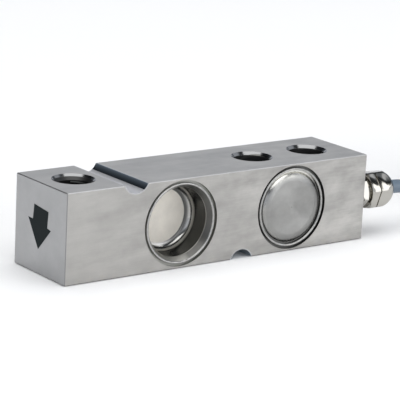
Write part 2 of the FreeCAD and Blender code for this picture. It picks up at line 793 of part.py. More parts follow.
def gland_nut():
    """The hexagon cap nut: turned corners, a ring groove and a domed end."""
    body = gland_piece("gland_nut")
    plan = new_sketch(body, "nut_hex_plan", "XY_Plane", ("0", "0", "Place.nut_start"))
    hexagon(plan, "Size.nut_flats", "Size.nut_turn")
    pad(body, "nut_hex", plan, "Place.nut_end - Place.nut_start")
    foot = "Size.nut_flats / 2 - Size.fit_clearance"
    reach = "Place.nut_corner + 1"
    ring = "Size.nut_flats / 2 - Size.nut_ring_depth"
    ring_end = "Place.nut_ring_start + Size.nut_ring_width"
    turned(body, "Groove", "nut_turning", [
        (foot, "Place.nut_start"),
        (reach, "Place.nut_start"),
        (reach, "Place.nut_end"),
        ("Place.dome_rim", "Place.nut_end", "Place.nut_turned", RIGHT),
        ("Place.nut_turned", "Place.dome_centre"),
        ("Place.nut_turned", ring_end),
        (ring, ring_end),
        (ring, "Place.nut_ring_start"),
        ("Place.nut_turned", "Place.nut_ring_start"),
        ("Place.nut_turned", f"Place.nut_start + (Place.nut_turned - ({foot})) * tan(30)"),
    ])
    thread = "Place.neck_radius + Size.fit_clearance"
    chamber = "Place.clamp_radius + Size.fit_clearance"
    shoulder = "Place.clamp_start + Size.clamp_shoulder"
    turned(body, "Groove", "nut_bore", [
        ("0", "Place.nut_start"),
        (thread, "Place.nut_start"),
        (thread, "Place.seal_end"),
        (chamber, "Place.seal_end"),
        (chamber, shoulder),
        ("Place.nut_mouth", "Place.nut_end - Size.nut_mouth_land"),
        ("Place.nut_mouth", "Place.nut_end"),
        ("0", "Place.nut_end"),
    ])
    return body


def cable_entry():
    base = ("Place.gland_end_x + Size.jacket_start", "Place.gland_y", "Place.middle_z")
    length = "Size.jacket_end - Size.jacket_start"
    return plain_cylinder("cable_entry", "Place.cable_radius", length, base, TO_GLAND)


def rounded_path(points):
    """Straight runs joined by tangent arcs, each arc as large as its two runs allow."""
    edges = []
    last = points[0]
    for before, corner, after in zip(points, points[1:], points[2:]):
        back = (before - corner).normalize()
        on = (after - corner).normalize()
        half_turn = (math.pi - back.getAngle(on)) / 2
        reach = ARC_SHARE * min((before - corner).Length, (after - corner).Length)
        radius = reach / math.tan(half_turn)
        start, end = corner + back * reach, corner + on * reach
        inward = (back + on).normalize()
        middle = corner + inward * (radius / math.cos(half_turn) - radius)
        edges.append(Part.LineSegment(last, start).toShape())
        edges.append(Part.Arc(start, middle, end).toShape())
        print(f"cable arc radius {radius:.1f} mm")
        last = end
    edges.append(Part.LineSegment(last, points[-1]).toShape())
    return Part.Wire(edges)


def cable_lead():
    path = rounded_path([Vector(*p) for p in CABLE_ROUTE])
    radius = size.cable_diameter / 2
    start = path.Edges[0]
    section = Part.Wire(Part.Circle(start.valueAt(start.FirstParameter), Vector(1, 0, 0), radius).toShape())
    tube = path.makePipeShell([section], True, True)
    share = tube.Volume / (math.pi * radius**2 * path.Length)
    print(f"cable lead {path.Length:.1f} mm, volume over section times length {share:.4f}")
    made = doc.addObject("Part::Feature", "cable_lead")
    made.Shape = tube
    made.Placement = Placement()
    return made


def stadium(sketch, radius):
    """Two straight runs joined by round folds, about the hank's middle line."""
    near = "Size.hank_near_fold"
    far = "Size.hank_near_fold + Size.hank_run"
    middle = "Size.hank_middle"
    return outline(sketch, [
        (near, f"{middle} - ({radius})"),
        (far, f"{middle} - ({radius})", radius, LEFT),
        (f"{far} + {radius}", middle, radius, LEFT),
        (far, f"{middle} + {radius}"),
        (near, f"{middle} + {radius}", radius, LEFT),
        (f"{near} - ({radius})", middle, radius, LEFT),
    ])


def cable_hank():
    """The outer shape of the wound cable, with the strand that comes in and the slot that its end lies in."""
    body = new_body("cable_hank")
    plan = new_sketch(body, "hank_plan", "XY_Plane", ("0", "0", "Place.hank_base"))
    stadium(plan, "Place.hank_outer_bend + Place.cable_radius")
    stadium(plan, "Size.hank_bend - Place.cable_radius")
    turns = pad(body, "hank_turns", plan, "Place.hank_height")
    doc.recompute()
    edges = body.newObject("PartDesign::Fillet", "hank_edges")
    edges.Base = (turns, [])
    edges.UseAllEdges = True
    edges.setExpression("Radius", "Size.hank_edge")
    doc.recompute()
    entry_x = "Size.hank_near_fold - Size.hank_entry"
    strand = new_sketch(body, "hank_entry_circle", "YZ_Plane", ("0", "0", entry_x))
    circle(strand, "Size.hank_middle - Place.hank_outer_bend", "Place.hank_base + Size.hank_pitch / 2",
           "Place.cable_radius")
    pad(body, "hank_entry", strand, "Size.hank_entry + Size.cable_diameter")
    slot = new_sketch(body, "tail_slot_plan", "XY_Plane", ("0", "0", "Place.hank_base + Place.hank_height"))
    rectangle(slot, "Size.hank_near_fold", "Size.hank_middle + Size.hank_bend - Size.cable_diameter",
              "Place.tail_x", "Size.hank_middle + Size.hank_bend + Size.hank_pitch / 2")
    tail = feature(body, "Pocket", "tail_slot", slot)
    tail.setExpression("Length", "Size.hank_pitch")
    return body


def hank_tie(label, x, side):
    """A strap around one side of the hank."""
    inner = "Size.hank_bend - Place.cable_radius - Size.fit_clearance"
    outer = "Place.hank_outer_bend + Place.cable_radius + Size.fit_clearance"
    low, high = (inner, outer) if side > 0 else (outer, inner)
    middle = "Size.hank_middle"
    wall = "Size.tie_thickness"
    top = "Place.hank_base + Place.hank_height + Size.fit_clearance"
    body = new_body(label)
    section = new_sketch(body, label + "_section", "YZ_Plane", ("0", "0", x))
    near, far = (f"{middle} + {side} * ({r})" for r in (low, high))
    rectangle(section, f"{near} - {wall}", "0", f"{far} + {wall}", f"{top} + {wall}")
    rectangle(section, near, wall, far, top)
    pad(body, label + "_strap", section, "Size.tie_width", both_ways=True)
    return body


CORE_SPOTS = {"core_red": -1.5, "core_green": -0.5, "core_black": 0.5, "core_white": 1.5}
BACK_ALONG = Rotation(Vector(0, 1, 0), -90)


def core_base(spot, x, lift):
    y = f"Size.hank_middle + Size.hank_bend + {spot} * Size.core_spacing"
    return (x, y, f"Place.tail_floor + {lift}")


def far_end_cores():
    made = [
        plain_cylinder(label, "Size.core_diameter / 2", "Size.core_length",
                       core_base(spot, "Place.tail_x", "Size.core_lift"), BACK_ALONG)
        for label, spot in CORE_SPOTS.items()
    ]
    lift = "Size.core_lift + (Size.core_diameter + Size.drain_diameter) / 2"
    made.append(plain_cylinder("screen_drain", "Size.drain_diameter / 2", "Size.core_length",
                               core_base(0, "Place.tail_x", lift), BACK_ALONG))
    tips = [
        plain_cylinder("tip", "Size.tip_diameter / 2", "Size.tip_length",
                       core_base(spot, "Place.tail_x - Size.core_length", "Size.core_lift"), BACK_ALONG)
        for spot in CORE_SPOTS.values()
    ]
    return made + [group("bare_tips", tips)]


def build():
    front = ("Place.gauge_x", "Place.front_y", "Place.middle_z")
    rear = ("Place.gauge_x", "-Place.front_y", "Place.middle_z")
    cover = ("Place.wiring_x", "Place.front_y", "Place.middle_z")
    web_front = ("Place.gauge_x", "Place.web_y", "Place.middle_z")
    web_rear = ("Place.gauge_x", "-Place.web_y", "Place.middle_z")
    output = ("Place.gauge_x + Size.strip_reach", "Place.web_y", "Place.middle_z")
    link_front = ("Place.gauge_x - Size.strip_reach", "Place.web_y", "Place.middle_z")
    link_rear = ("Place.gauge_x - Size.strip_reach", "-Place.web_y", "Place.middle_z")
    return [
        beam_body(),
        gauge_cup("front_gauge_cup", front, TO_BACK),
        gauge_cup("rear_gauge_cup", rear, TO_FRONT),
        wiring_pocket_cover(),
        weld_bead("front_cup_weld", front, TO_BACK),
        weld_bead("rear_cup_weld", rear, TO_FRONT),
        weld_bead("cover_weld", cover, TO_BACK),
        strain_gauge("front_strain_gauge", web_front, TO_FRONT),
        strain_gauge("rear_strain_gauge", web_rear, TO_BACK),
        solder_strip("front_output_strip", output, TO_FRONT),
        solder_strip("front_link_strip", link_front, TO_FRONT),
        solder_strip("rear_link_strip", link_rear, TO_BACK),
        bridge_jumper(),
        gauge_ribbon(),
        round_plate("board_pad", "Place.board_radius - Size.board_pad_inset", "Size.board_pad_thickness",
                    "Place.pocket_floor_y"),
        round_plate("trim_board", "Place.board_radius", "Size.board_thickness",
                    "Place.board_y + Size.board_thickness"),
        trim_resistors(),
        header_ribbon(),
        header_shell(),
        header_glass(),
        ring_of_rods("header_pins", "Size.pin_diameter / 2", "Place.port_end + Size.pin_inner_end",
                     "-Size.port_depth + Size.pin_outer_end"),
        ring_of_rods("entry_cores", "Size.core_diameter / 2", "-Size.port_depth + Size.pin_outer_end",
                     "Size.jacket_start"),
        gland_o_ring(),
        gland_body(),
        gland_seal(),
        gland_clamp_ring(),
        gland_nut(),
        cable_entry(),
        cable_lead(),
        cable_hank(),
        hank_tie("front_hank_tie", "Size.hank_near_fold + Size.hank_run / 2", -1),
        hank_tie("rear_hank_tie", "Size.hank_near_fold + Size.hank_run - Size.tie_width", 1),
    ] + far_end_cores()


parts = build()
doc.recompute()

failed = [o.Name for o in doc.Objects if "Invalid" in o.State or "Error" in o.State]
bad = [p.Label for p in parts if p.Shape.isNull() or not p.Shape.isValid() or not p.Shape.Solids]
if failed or bad:
    raise RuntimeError(f"failed objects {failed}, bad shapes {bad}")

os.makedirs("parts", exist_ok=True)
for part in parts:
    part.Shape.exportStep(f"parts/{part.Label}.step")
print(f"{len(parts)} sub-parts")
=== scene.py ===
import json
import math

import bpy
from mathutils import Matrix, Vector


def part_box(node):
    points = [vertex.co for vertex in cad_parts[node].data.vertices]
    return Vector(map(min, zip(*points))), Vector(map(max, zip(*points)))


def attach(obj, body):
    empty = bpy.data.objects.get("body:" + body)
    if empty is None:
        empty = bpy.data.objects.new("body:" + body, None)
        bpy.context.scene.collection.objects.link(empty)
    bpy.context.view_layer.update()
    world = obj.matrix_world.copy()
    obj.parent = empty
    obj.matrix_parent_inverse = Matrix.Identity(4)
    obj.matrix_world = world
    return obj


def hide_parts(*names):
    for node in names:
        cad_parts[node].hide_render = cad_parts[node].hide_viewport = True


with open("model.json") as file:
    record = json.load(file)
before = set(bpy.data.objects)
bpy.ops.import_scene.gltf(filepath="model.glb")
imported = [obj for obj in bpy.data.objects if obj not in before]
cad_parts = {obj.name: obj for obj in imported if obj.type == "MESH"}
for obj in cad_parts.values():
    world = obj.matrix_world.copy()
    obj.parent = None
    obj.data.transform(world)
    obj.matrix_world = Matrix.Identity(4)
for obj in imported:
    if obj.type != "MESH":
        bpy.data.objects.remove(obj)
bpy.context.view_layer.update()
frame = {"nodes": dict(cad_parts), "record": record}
nodes = frame["nodes"]
record = frame["record"]
scene = bpy.context.scene

MM = 0.001

# Places and sizes from the frame, in millimetres.
bar_low, bar_high = (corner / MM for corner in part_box("beam_body"))
mounts = {mount["name"]: mount for mount in record["mounts"]}
LOAD_END_X = bar_low.x
FACE_Y = bar_high.y
BAR_HEIGHT = bar_high.z
MIDDLE_Z = BAR_HEIGHT / 2
LOAD_HOLE_X = mounts["load_hole"]["pos_m"][0] / MM
LOAD_HOLE_RADIUS = mounts["load_hole"]["dims"]["r_mm"]
FIXING_HOLE_X = mounts["fixing_holes"]["dims"]["spacing_x_mm"] / 2
FIXING_HOLE_RADIUS = mounts["fixing_holes"]["dims"]["hole_r_mm"]

# Sizes repeated from the part's source, in millimetres.
GAUGE_FROM_LOAD = 34.3
WIRING_FROM_FIXING = 6.8
GLAND_DEPTH = 7.4
EDGE_BREAK = 0.25
FIXING_COUNTERSINK = 1.1
GROOVE_RADIUS = 5.0
GROOVE_DEPTH = 3.15
GROOVE_FROM_HOLE = 15.0
RELIEF_RADII = (14.4, 15.3)
PLATEAU_RADIUS = 12.9
SHOULDER_RUN = 1.67

# What follows from them. A groove's axis is given as (x, z), and all three holes have the same mouth.
GAUGE_X = LOAD_HOLE_X + GAUGE_FROM_LOAD
WIRING_X = -FIXING_HOLE_X + WIRING_FROM_FIXING
GLAND_Y = -FACE_Y + GLAND_DEPTH
HOLE_MOUTH_RADIUS = FIXING_HOLE_RADIUS + FIXING_COUNTERSINK
TOP_GROOVE = (LOAD_HOLE_X + GROOVE_FROM_HOLE, BAR_HEIGHT + GROOVE_RADIUS - GROOVE_DEPTH)
LOW_GROOVE = (-FIXING_HOLE_X - GROOVE_FROM_HOLE, GROOVE_DEPTH - GROOVE_RADIUS)


class Value:
    """A number in a node tree. Arithmetic on it adds nodes, and a comparison is a mask of 1 or 0."""

    def __init__(self, graph, socket):
        self.graph = graph
        self.socket = socket

    def __add__(self, other):
        return self.graph.math("ADD", self, other)

    def __sub__(self, other):
        return self.graph.math("SUBTRACT", self, other)

    def __rsub__(self, other):
        return self.graph.math("SUBTRACT", other, self)

    def __mul__(self, other):
        return self.graph.math("MULTIPLY", self, other)

    def __and__(self, other):
        return self.graph.math("MINIMUM", self, other)

    def __lt__(self, other):
        return self.graph.math("LESS_THAN", self, other)

    def __gt__(self, other):
        return self.graph.math("GREATER_THAN", self, other)

    def __abs__(self):
        return self.graph.math("ABSOLUTE", self)

    def map(self, low, high, to_low=0.0, to_high=1.0):
        """The value carried from one range to another, and held at the ends."""
        node = self.graph.new("ShaderNodeMapRange")
        limits = {"From Min": low, "From Max": high, "To Min": to_low, "To Max": to_high}
        for key, number in limits.items():
            node.inputs[key].default_value = number
        self.graph.put(node.inputs["Value"], self)
        return Value(self.graph, node.outputs["Result"])

    def ramp(self, stops):
        """The colour that (position, colour) stops give for the value."""
        node = self.graph.new("ShaderNodeValToRGB")
        elements = node.color_ramp.elements
        while len(elements) < len(stops):
            elements.new(0.5)
        for element, (position, colour) in zip(elements, stops):
            element.position = position
            element.color = (*colour, 1.0)
        self.graph.put(node.inputs[0], self)
        return node.outputs["Color"]

    def mix(self, first, second):
        """The first colour where the value is 0, the second where it is 1."""
        return self.graph.mixed(self, first, second, "MIX")

    def blend(self, first, second):
        """The first number where the value is 0, the second where it is 1."""
        node = self.graph.new("ShaderNodeMix", data_type="FLOAT")
        for socket, value in zip((node.inputs[0], *node.inputs[2:4]), (self, first, second)):
            self.graph.put(socket, value)
        return Value(self.graph, node.outputs[0])


class Graph:
    """The node tree of a material or a world, with short calls for what the finishes share."""

    def __init__(self, owner):
        self.owner = owner
        self.tree = owner.node_tree
        self.shader = self.tree.nodes.get("Principled BSDF")

    def new(self, kind, **settings):
        node = self.tree.nodes.new(kind)
        for key, value in settings.items():
            setattr(node, key, value)
        return node

    def put(self, socket, value):
        """Gives a socket a number or a colour, or links a value or an output to it."""
        if isinstance(value, Value):
            self.tree.links.new(value.socket, socket)
        elif isinstance(value, tuple):
            socket.default_value = (*value, 1.0)
        elif isinstance(value, (int, float)):
            socket.default_value = value
        else:
            self.tree.links.new(value, socket)

    def set(self, **values):
        """Fills the shader's sockets; an underscore stands for a space in a socket's name."""
        for key, value in values.items():
            self.put(self.shader.inputs[key.replace("_", " ")], value)

    def math(self, operation, first, second=0.0):
        node = self.new("ShaderNodeMath", operation=operation)
        self.put(node.inputs[0], first)
        self.put(node.inputs[1], second)
        return Value(self, node.outputs[0])

    def length(self, across, up):
        """The length of a vector with these two components."""
        return self.math("SQRT", across * across + up * up)

    def coordinates(self):
        """Object coordinates in millimetres."""
        source = self.new("ShaderNodeTexCoord").outputs["Object"]
        return self.stretched(source, (1 / MM, 1 / MM, 1 / MM))

    def split(self, coordinates):
        node = self.new("ShaderNodeSeparateXYZ")
        self.put(node.inputs[0], coordinates)
        return [Value(self, output) for output in node.outputs]

    def stretched(self, coordinates, factors):
        node = self.new("ShaderNodeVectorMath", operation="MULTIPLY")
        node.inputs[1].default_value = factors
        self.put(node.inputs[0], coordinates)
        return node.outputs[0]

    def turned(self, coordinates, degrees):
        """Coordinates turned about the Y axis."""
        node = self.new("ShaderNodeVectorRotate", rotation_type="Y_AXIS")
        node.inputs["Angle"].default_value = math.radians(degrees)
        self.put(node.inputs["Vector"], coordinates)
        return node.outputs[0]

    def noise(self, coordinates, scale, detail=3.0, roughness=0.55):
        node = self.new("ShaderNodeTexNoise")
        node.inputs["Scale"].default_value = scale
        node.inputs["Detail"].default_value = detail
        node.inputs["Roughness"].default_value = roughness
        self.put(node.inputs["Vector"], coordinates)
        return Value(self, node.outputs["Fac"])

    def mixed(self, factor, first, second, blend_type):
        node = self.new("ShaderNodeMix", data_type="RGBA", blend_type=blend_type)
        for socket, value in zip((node.inputs[0], *node.inputs[6:8]), (factor, first, second)):
            self.put(socket, value)
        return node.outputs[2]

    def tinted(self, colour, tint):
        """Two colours multiplied."""
        return self.mixed(1.0, colour, tint, "MULTIPLY")

    def bump(self, height, strength, distance=0.1 * MM):
        node = self.new("ShaderNodeBump")
        node.inputs["Strength"].default_value = strength
        node.inputs["Distance"].default_value = distance
        self.put(node.inputs["Height"], height)
        self.set(Normal=node.outputs["Normal"])


def grey(value):
    return (value, value, value)


def new_material(name):
    material = bpy.data.materials.new(name)
    material.use_nodes = True
    return material


def plain(name, **sockets):
    graph = Graph(new_material(name))
    graph.set(**sockets)
    return graph.owner


# Most of a noise lies in this range.
NOISE_RANGE = (0.3, 0.7)
GLOSS_SPREAD = 0.15


def mottled(name, colour, roughness, metallic=0.0, scale=0.6, spread=0.10, bump=0.02):
    """A finish whose colour, gloss and surface all vary a little."""
    graph = Graph(new_material(name))
    grain = graph.noise(graph.coordinates(), scale, detail=4.0)
    low, high = NOISE_RANGE
    dull = tuple(channel * (1 - spread) for channel in colour)
    bright = tuple(channel * (1 + spread) for channel in colour)
    gloss = grain.map(low, high, roughness * (1 - GLOSS_SPREAD), roughness * (1 + GLOSS_SPREAD))
    graph.set(Base_Color=grain.ramp([(low, dull), (high, bright)]), Roughness=gloss, Metallic=metallic)
    graph.bump(grain, bump)
    return graph.owner


# The bar: tones of its ground faces and of its load end, from dull to bright.
FACE_TONES = [(0.36, (0.290, 0.284, 0.274)), (0.64, (0.508, 0.496, 0.474))]
END_TONES = [(0.36, (0.325, 0.326, 0.329)), (0.64, (0.465, 0.466, 0.468))]
FACE_ROUGHNESS = (0.32, 0.44)
CLOUD_SHARE = 0.50
WIPE_SHARE = 0.38
SCRATCH_SHARE = 0.12
SCRATCH_BUMP = 0.06
WIPE_SLANT = 9.0
# Strength of the mottle at the load end and at the far fixing hole.
MOTTLE_GAIN = (0.40, 1.05)
# Looks are (colour, roughness), and None keeps the roughness of what is below.
# The long top edges get a painted highlight, and the upright edges at the load end get painted shade.
LONG_EDGE_PAINTED_HIGHLIGHT = (grey(0.60), 0.5)
UPRIGHT_EDGE_PAINTED_SHADE = (grey(0.27), None)
GROOVE_RIM = (grey(0.44), None)
GROOVE_RIM_WIDTH = 0.42
# The top groove has painted light as far as this beyond its axis. The rest of it and the low groove have
# painted shade.
PAINTED_LIGHT_REACH = 3.1
GROOVE_PAINTED_LIGHT = ((0.68, 0.68, 0.70), 0.45)
GROOVE_PAINTED_SHADE = ((0.42, 0.47, 0.51), 0.09)
COUNTERSINK = ((0.25, 0.252, 0.255), 0.16)
BORE_ROUGHNESS = 0.40
# (place, depth of the bright part of the countersink, painted shade of the hole below it)
HOLES = ((LOAD_HOLE_X, 0.85, 0.05), (-FIXING_HOLE_X, 1.1, 0.09), (FIXING_HOLE_X, 1.1, 0.09))
HOLE_FADE = 0.15
# (place, look) of the weld reliefs around the two pockets; their dark colours are painted shade in the relief
# grooves.
RELIEFS = ((GAUGE_X, ((0.32, 0.32, 0.30), None)), (WIRING_X, ((0.12, 0.12, 0.115), None)))
# Masks reach a little past the surfaces that they mark, and stop short of flat faces beside them.
END_SLACK = 0.02
GROOVE_SLACK = 0.04
RELIEF_SLACK = 0.02
HOLE_GAP = 0.01
FACE_GAP = 0.05


def over(mask, below, above):
    """One look over another where the mask is 1."""
    colour = mask.mix(below[0], above[0])
    if above[1] is None:
        return colour, below[1]
    return colour, mask.blend(below[1], above[1])


def bar_tone(graph, at, x, scratches):
    """The ground steel's mottle: clouds, slanting wipes and scratches, fainter at the load end."""
    clouds = graph.noise(graph.stretched(at, (1.0, 1.0, 1.4)), scale=0.076, detail=5.0, roughness=0.62)
    slanted = graph.stretched(graph.turned(at, WIPE_SLANT), (0.16, 1.0, 1.0))
    wipes = graph.noise(slanted, scale=0.18, roughness=0.6)
    mottle = clouds * CLOUD_SHARE + wipes * WIPE_SHARE + scratches * SCRATCH_SHARE
    return (mottle - 0.5) * x.map(LOAD_END_X, FIXING_HOLE_X, *MOTTLE_GAIN) + 0.5


def with_edges(look, x, y, z):
    """Long edges on the top brightened with a painted highlight, and upright ones at the load end dulled with
    painted shade.
    """
    side = abs(y) > FACE_Y - EDGE_BREAK
    top = z > BAR_HEIGHT - EDGE_BREAK
    end = x < LOAD_END_X + EDGE_BREAK
    look = over(top & side, look, LONG_EDGE_PAINTED_HIGHLIGHT)
    return over(end & side, look, UPRIGHT_EDGE_PAINTED_SHADE)


def with_grooves(look, graph, x, z):
    """The grooves across the top and the bottom, with bright rims, painted light on one side of the top
    groove and painted shade on the rest.
    """
    top, low = (graph.length(x - axis_x, z - axis_z) for axis_x, axis_z in (TOP_GROOVE, LOW_GROOVE))
    reach = graph.math("MINIMUM", top, low)
    rim_start = GROOVE_RADIUS + GROOVE_SLACK
    rim_end = GROOVE_RADIUS + GROOVE_RIM_WIDTH
    look = over((reach > rim_start) & (reach < rim_end), look, GROOVE_RIM)
    steel = over(x < TOP_GROOVE[0] + PAINTED_LIGHT_REACH, GROOVE_PAINTED_SHADE, GROOVE_PAINTED_LIGHT)
    return over(reach < rim_start, look, steel)


def with_holes(look, graph, x, y, z):
    """Bright countersinks, and bores darkened with painted shade."""
    depth = BAR_HEIGHT - z
    for hole_x, bright_depth, painted_shade in HOLES:
        deep = depth.map(bright_depth - HOLE_FADE, bright_depth)
        steel = over(deep, COUNTERSINK, (grey(painted_shade), BORE_ROUGHNESS))
        inside = graph.length(x - hole_x, y) < HOLE_MOUTH_RADIUS - HOLE_GAP
        look = over(inside, look, steel)
    return look


def with_reliefs(look, graph, x, y, z):
    """The ring beside each weld, below the face of the bar, darkened with painted shade."""
    inner, outer = RELIEF_RADII
    below_face = abs(y) < FACE_Y - FACE_GAP
    for centre_x, painted_relief_shade in RELIEFS:
        reach = graph.length(x - centre_x, z - MIDDLE_Z)
        ring = (reach > inner - RELIEF_SLACK) & (reach < outer + RELIEF_SLACK)
        look = over(ring & below_face, look, painted_relief_shade)
    return look


def bar_steel():
    """Ground stainless steel, with its own looks on the load end, edges, grooves, holes and reliefs; painted
    highlights and painted shade on edges and grooves, painted shade in bores and reliefs.
    """
    graph = Graph(new_material("bar_steel"))
    at = graph.coordinates()
    x, y, z = graph.split(at)
    scratches = graph.noise(graph.stretched(at, (0.10, 5.0, 5.0)), scale=0.8)
    tone = bar_tone(graph, at, x, scratches)
    look = (tone.ramp(FACE_TONES), tone.map(*NOISE_RANGE, *FACE_ROUGHNESS))
    look = over(x < LOAD_END_X + END_SLACK, look, (tone.ramp(END_TONES), None))
    look = with_edges(look, x, y, z)
    look = with_grooves(look, graph, x, z)
    look = with_holes(look, graph, x, y, z)
    colour, roughness = with_reliefs(look, graph, x, y, z)
    graph.set(Base_Color=colour, Roughness=roughness, Metallic=1.0)
    graph.bump(scratches, SCRATCH_BUMP)
    return graph.owner


# The cup: colour and roughness by depth below the bar's face, as shares of this depth.
CUP_RANGE = 12.5
CUP_TONES = [
    (0.00, (0.33, 0.326, 0.31)),
    (0.175, (0.29, 0.286, 0.27)),
    # A painted highlight: the bright line where the flare meets the wall.
    (0.185, (0.66, 0.64, 0.60)),
    (0.205, (0.66, 0.64, 0.60)),
    # Painted shade: the dark polished wall, down to the fillet.
    (0.215, (0.15, 0.153, 0.145)),
    (0.72, (0.16, 0.163, 0.155)),
    (0.79, (0.38, 0.378, 0.365)),
    (0.945, (0.42, 0.415, 0.40)),
    (0.95, (0.88, 0.83, 0.74)),
]
CUP_ROUGHNESS = [
    (0.00, grey(0.40)), (0.20, grey(0.36)), (0.22, grey(0.18)), (0.90, grey(0.13)), (0.945, grey(0.36)),
]
FLARE_END = 0.178
WALL_END = 0.72
FILLET_FOOT = (0.88, 0.925)
METAL_FADE = (0.94, 0.95)
DISC_START = 0.948
# Painted shade darkens flare and wall to the right and downwards: weights of the two, range of their sum,
# most shade.
SHADE_RIGHT = 0.8
SHADE_DOWN = 0.35
SHADE_RANGE = (2.0, 10.0)
SHADE_SHARE = 0.6
# Painted light makes the flare pale between these distances below the middle and to the right of it.
PAINTED_LIGHT_DOWN = (5.0, 11.0)
PAINTED_LIGHT_RIGHT = (4.5, -1.5)
FLARE_PAINTED_LIGHT = (0.85, 0.83, 0.77)
# Painted shade darkens the foot of the fillet on the right.
FOOT_RIGHT = (0.0, 5.0)
FOOT_SHARE = 0.95
FOOT_SHADE = (0.08, 0.08, 0.078)
DISC_STAINS = [(0.35, grey(0.88)), (0.65, grey(1.0))]


def cup_steel():
    """Drawn cup: grey flare with painted light at its foot, a bright line that is a painted highlight, a
    polished wall darkened with painted shade, bright fillet, matte stained bottom; painted shade on the right
    and low side.
    """
    graph = Graph(new_material("cup_steel"))
    at = graph.coordinates()
    x, y, z = graph.split(at)
    right = x - GAUGE_X
    down = MIDDLE_Z - z
    depth = (FACE_Y - abs(y)).map(0.0, CUP_RANGE)
    colour = depth.ramp(CUP_TONES)
    painted_shade = (right * SHADE_RIGHT + down * SHADE_DOWN).map(*SHADE_RANGE, 0.0, SHADE_SHARE)
    colour = (painted_shade * (depth < WALL_END)).mix(colour, grey(0.0))
    flare_light = down.map(*PAINTED_LIGHT_DOWN) * right.map(*PAINTED_LIGHT_RIGHT) * (depth < FLARE_END)
    colour = flare_light.mix(colour, FLARE_PAINTED_LIGHT)
    stains = graph.noise(at, scale=0.16, detail=4.0).ramp(DISC_STAINS)
    colour = (depth > DISC_START).mix(colour, graph.tinted(colour, stains))
    painted_foot_shade = depth.map(*FILLET_FOOT) * (depth < DISC_START) * right.map(*FOOT_RIGHT, 0.0, FOOT_SHARE)
    graph.set(
        Base_Color=painted_foot_shade.mix(colour, FOOT_SHADE),
        Metallic=depth.map(*METAL_FADE, 1.0, 0.0),
        Roughness=depth.ramp(CUP_ROUGHNESS),
    )
    return graph.owner


# The lid: colour and roughness by distance from its middle, as shares of this distance.
LID_RANGE = 20.0
SHOULDER = (PLATEAU_RADIUS - SHOULDER_RUN) / LID_RANGE
VALLEY = PLATEAU_RADIUS / LID_RANGE
LID_TONES = [
    (0.000, (0.24, 0.24, 0.23)),
    (0.020, (0.350, 0.348, 0.338)),
    (SHOULDER, (0.360, 0.358, 0.348)),
    (VALLEY - 0.020, (0.39, 0.388, 0.375)),
    # Painted shade: the dark valley.
    (VALLEY - 0.004, (0.29, 0.29, 0.28)),
    (VALLEY, (0.13, 0.13, 0.125)),
]
LID_ROUGHNESS = [(SHOULDER, grey(0.42)), (VALLEY - 0.030, grey(0.22))]
LID_MOTTLE = [(0.34, grey(0.82)), (0.66, grey(1.0))]
# A painted highlight brightens the rim at its top, between these radii and heights above the middle.
RIM_RADII = (10.2, 11.6)
RIM_HEIGHTS = (7.5, 11.5)
RIM_SHARE = 0.65
RIM_PAINTED_HIGHLIGHT = (0.90, 0.89, 0.84)
# The face turns down softly from this radius, by this much in all.
CROWN_START = 9.6
CROWN_DROP = 1.1


def cover_steel():
    """Face turned lid: mottled, with fine rings, a painted highlight on the rim at its top and a valley
    darkened with painted shade.
    """
    graph = Graph(new_material("cover_steel"))
    at = graph.coordinates()
    x, _, z = graph.split(at)
    up = z - MIDDLE_Z
    radius = graph.length(x - WIRING_X, up)
    position = radius.map(0.0, LID_RANGE)
    clouds = graph.noise(graph.stretched(at, (1.0, 1.0, 1.4)), scale=0.12, detail=5.0, roughness=0.62)
    colour = graph.tinted(position.ramp(LID_TONES), clouds.ramp(LID_MOTTLE))
    rim_highlight = radius.map(*RIM_RADII) * up.map(*RIM_HEIGHTS, 0.0, RIM_SHARE)
    tangent = graph.new("ShaderNodeTangent", direction_type="RADIAL", axis="Y")
    graph.set(
        Base_Color=rim_highlight.mix(colour, RIM_PAINTED_HIGHLIGHT),
        Roughness=position.ramp(LID_ROUGHNESS),
        Metallic=1.0,
        Anisotropic=0.75,
        Anisotropic_Rotation=0.25,
        Tangent=tangent.outputs[0],
    )
    run = radius.map(CROWN_START, PLATEAU_RADIUS)
    crown = run * run * (3.0 - run * 2.0)
    graph.bump(crown * -CROWN_DROP, 1.0, MM)
    return graph.owner


FACET_CROWN_RADIUS = 27.0
FACET_WAVE_HEIGHT = 0.30


def nickel_plate():
    """Bright plating on buffed brass: facets a little crowned and wavy."""
    graph = Graph(new_material("nickel_plate"))
    graph.set(Base_Color=(0.46, 0.445, 0.41), Roughness=0.10, Metallic=1.0)
    at = graph.coordinates()
    _, y, z = graph.split(at)
    across = y - GLAND_Y
    up = z - MIDDLE_Z
    crown = (across * across + up * up) * (-0.5 / FACET_CROWN_RADIUS)
    waves = graph.noise(at, scale=0.24, detail=0.5) * FACET_WAVE_HEIGHT
    graph.bump(crown + waves, 1.0, MM)
    return graph.owner


